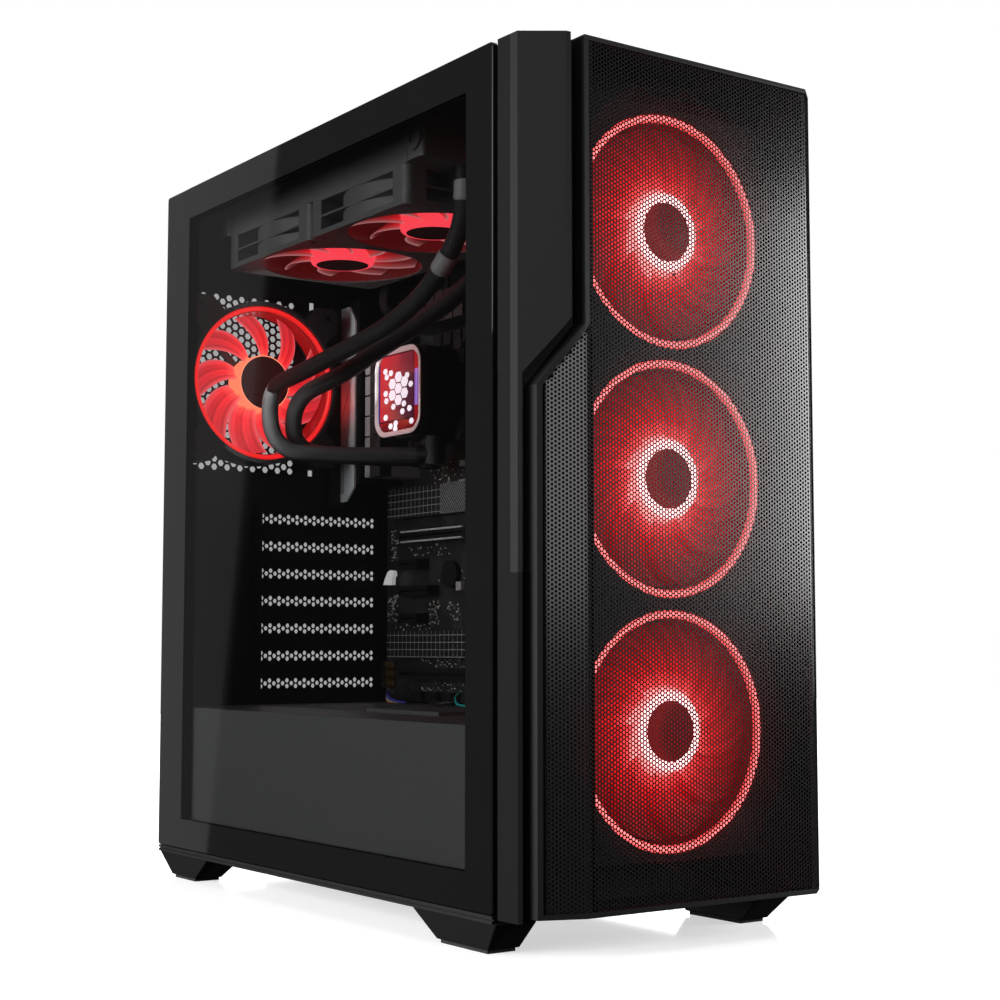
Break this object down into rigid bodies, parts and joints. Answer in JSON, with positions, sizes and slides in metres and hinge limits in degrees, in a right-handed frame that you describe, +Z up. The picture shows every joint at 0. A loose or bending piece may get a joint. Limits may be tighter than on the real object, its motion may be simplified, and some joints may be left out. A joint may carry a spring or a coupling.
{
  "type": "desktop computer tower",
  "caption": "Mid-tower desktop computer with a tempered glass side, an angular perforated front, red-lit fans and a liquid-cooled processor.",
  "frame": {"origin": "middle of the tower's footprint, on the plane its feet stand on", "axes": "+Z up; -Y out of the perforated front; -X out of the glass side"},
  "size_m": [0.214, 0.455, 0.4885],
  "materials": {
    "black_steel": "satin powder coat",
    "mesh_steel": "satin powder coat on perforated sheet",
    "black_plastic": "fine matt",
    "fan_plastic": "satin",
    "fan_blade": "translucent, lit red",
    "light_ring": "diffusing, lit red",
    "tempered_glass": "smoked, with a black printed border",
    "rubber": "matt",
    "braided_hose": "black braid",
    "circuit_board": "black solder mask",
    "grey_metal": "bead blasted",
    "radiator_metal": "satin black",
    "pump_gloss": "mirror gloss",
    "bright_steel": "plated",
    "brass": "turned",
    "copper": "ground"
  },
  "bodies": {
    "chassis": {"base_pan": "black_steel", "rear_panel": "black_steel", "roof_frame": "black_steel", "fan_wall": "black_steel", "motherboard_tray": "black_steel", "cable_plate": "black_steel", "psu_shroud": "black_steel", "slot_covers": "black_steel", "psu_case": "black_steel", "feet": "black_plastic", "top_io_panel": "black_plastic", "psu_socket": "black_plastic", "memory_slots": "black_plastic", "expansion_slots": "black_plastic", "board_components": "black_plastic", "front_fan_frames": "fan_plastic", "rear_fan_frame": "fan_plastic", "radiator_fan_frames": "fan_plastic", "fan_light_rings": "light_ring", "foot_pads": "rubber", "cable_grommets": "rubber", "supply_hose": "braided_hose", "return_hose": "braided_hose", "power_cables": "braided_hose", "motherboard": "circuit_board", "nvme_drives": "circuit_board", "io_cover": "grey_metal", "board_heatsinks": "grey_metal", "m2_heatsinks": "grey_metal", "memory_modules": "grey_metal", "radiator_core": "radiator_metal", "radiator_tanks": "radiator_metal", "hose_fittings": "radiator_metal", "pump_housing": "pump_gloss", "pump_cap": "pump_gloss", "case_screws": "bright_steel", "rear_io_ports": "bright_steel", "top_io_sockets": "bright_steel", "cpu_socket": "bright_steel", "processor": "bright_steel", "board_standoffs": "brass", "cold_plate": "copper"},
    "front_fan_bottom": {"front_fan_bottom_rotor": "fan_blade"},
    "front_fan_middle": {"front_fan_middle_rotor": "fan_blade"},
    "front_fan_top": {"front_fan_top_rotor": "fan_blade"},
    "rear_fan": {"rear_fan_rotor": "fan_blade"},
    "radiator_fan_front": {"radiator_fan_front_rotor": "fan_blade"},
    "radiator_fan_rear": {"radiator_fan_rear_rotor": "fan_blade"},
    "psu_fan": {"psu_fan_rotor": "fan_blade"},
    "switch": {"psu_switch": "black_plastic"},
    "power": {"power_button": "black_plastic"},
    "reset": {"reset_button": "black_plastic"},
    "glass_panel": {"glass_pane": "tempered_glass", "glass_rails": "black_plastic"},
    "right_side": {"right_panel": "black_steel", "right_thumbscrews": "bright_steel"},
    "front_panel": {"front_frame": "black_plastic", "front_mesh": "mesh_steel"},
    "roof_filter": {"top_filter": "black_plastic"},
    "floor_filter": {"psu_filter": "black_plastic"}
  },
  "joints": [
    {"name": "front_fan_bottom_spin", "type": "hinge", "parent": "chassis", "child": "front_fan_bottom", "pos_m": [0.0039, -0.194, 0.115], "axis": [0, -1, 0], "continuous": true},
    {"name": "front_fan_middle_spin", "type": "hinge", "parent": "chassis", "child": "front_fan_middle", "pos_m": [0.0039, -0.194, 0.255], "axis": [0, -1, 0], "continuous": true},
    {"name": "front_fan_top_spin", "type": "hinge", "parent": "chassis", "child": "front_fan_top", "pos_m": [0.0039, -0.194, 0.395], "axis": [0, -1, 0], "continuous": true},
    {"name": "rear_fan_spin", "type": "hinge", "parent": "chassis", "child": "rear_fan", "pos_m": [-0.0405, 0.208, 0.3543], "axis": [0, -1, 0], "continuous": true},
    {"name": "radiator_fan_front_spin", "type": "hinge", "parent": "chassis", "child": "radiator_fan_front", "pos_m": [-0.015, 0.008, 0.445], "axis": [0, 0, -1], "continuous": true},
    {"name": "radiator_fan_rear_spin", "type": "hinge", "parent": "chassis", "child": "radiator_fan_rear", "pos_m": [-0.015, 0.1285, 0.445], "axis": [0, 0, -1], "continuous": true},
    {"name": "psu_fan_spin", "type": "hinge", "parent": "chassis", "child": "psu_fan", "pos_m": [0.007, 0.15, 0.033], "axis": [0, 0, 1], "continuous": true},
    {"name": "switch_rock", "type": "hinge", "parent": "chassis", "child": "switch", "pos_m": [0.009, 0.217, 0.072], "axis": [1, 0, 0], "range_deg": [0, 21]},
    {"name": "power_press", "type": "slide", "parent": "chassis", "child": "power", "axis": [0, 0, -1], "range_m": [0, 0.0015], "stiffness_N_per_m": 700, "springref_m": -0.0006},
    {"name": "reset_press", "type": "slide", "parent": "chassis", "child": "reset", "axis": [0, 0, -1], "range_m": [0, 0.0012], "stiffness_N_per_m": 600, "springref_m": -0.0005},
    {"name": "glass_pull", "type": "slide", "parent": "chassis", "child": "glass_panel", "axis": [-1, 0, 0], "range_m": [0, 0.15]},
    {"name": "right_side_slide", "type": "slide", "parent": "chassis", "child": "right_side", "axis": [0, 1, 0], "range_m": [0, 0.44]},
    {"name": "front_pull", "type": "slide", "parent": "chassis", "child": "front_panel", "axis": [0, -1, 0], "range_m": [0, 0.08]},
    {"name": "roof_filter_lift", "type": "slide", "parent": "chassis", "child": "roof_filter", "axis": [0, 0, 1], "range_m": [0, 0.05]},
    {"name": "floor_filter_draw", "type": "slide", "parent": "chassis", "child": "floor_filter", "axis": [0, 1, 0], "range_m": [0, 0.17]}
  ]
}
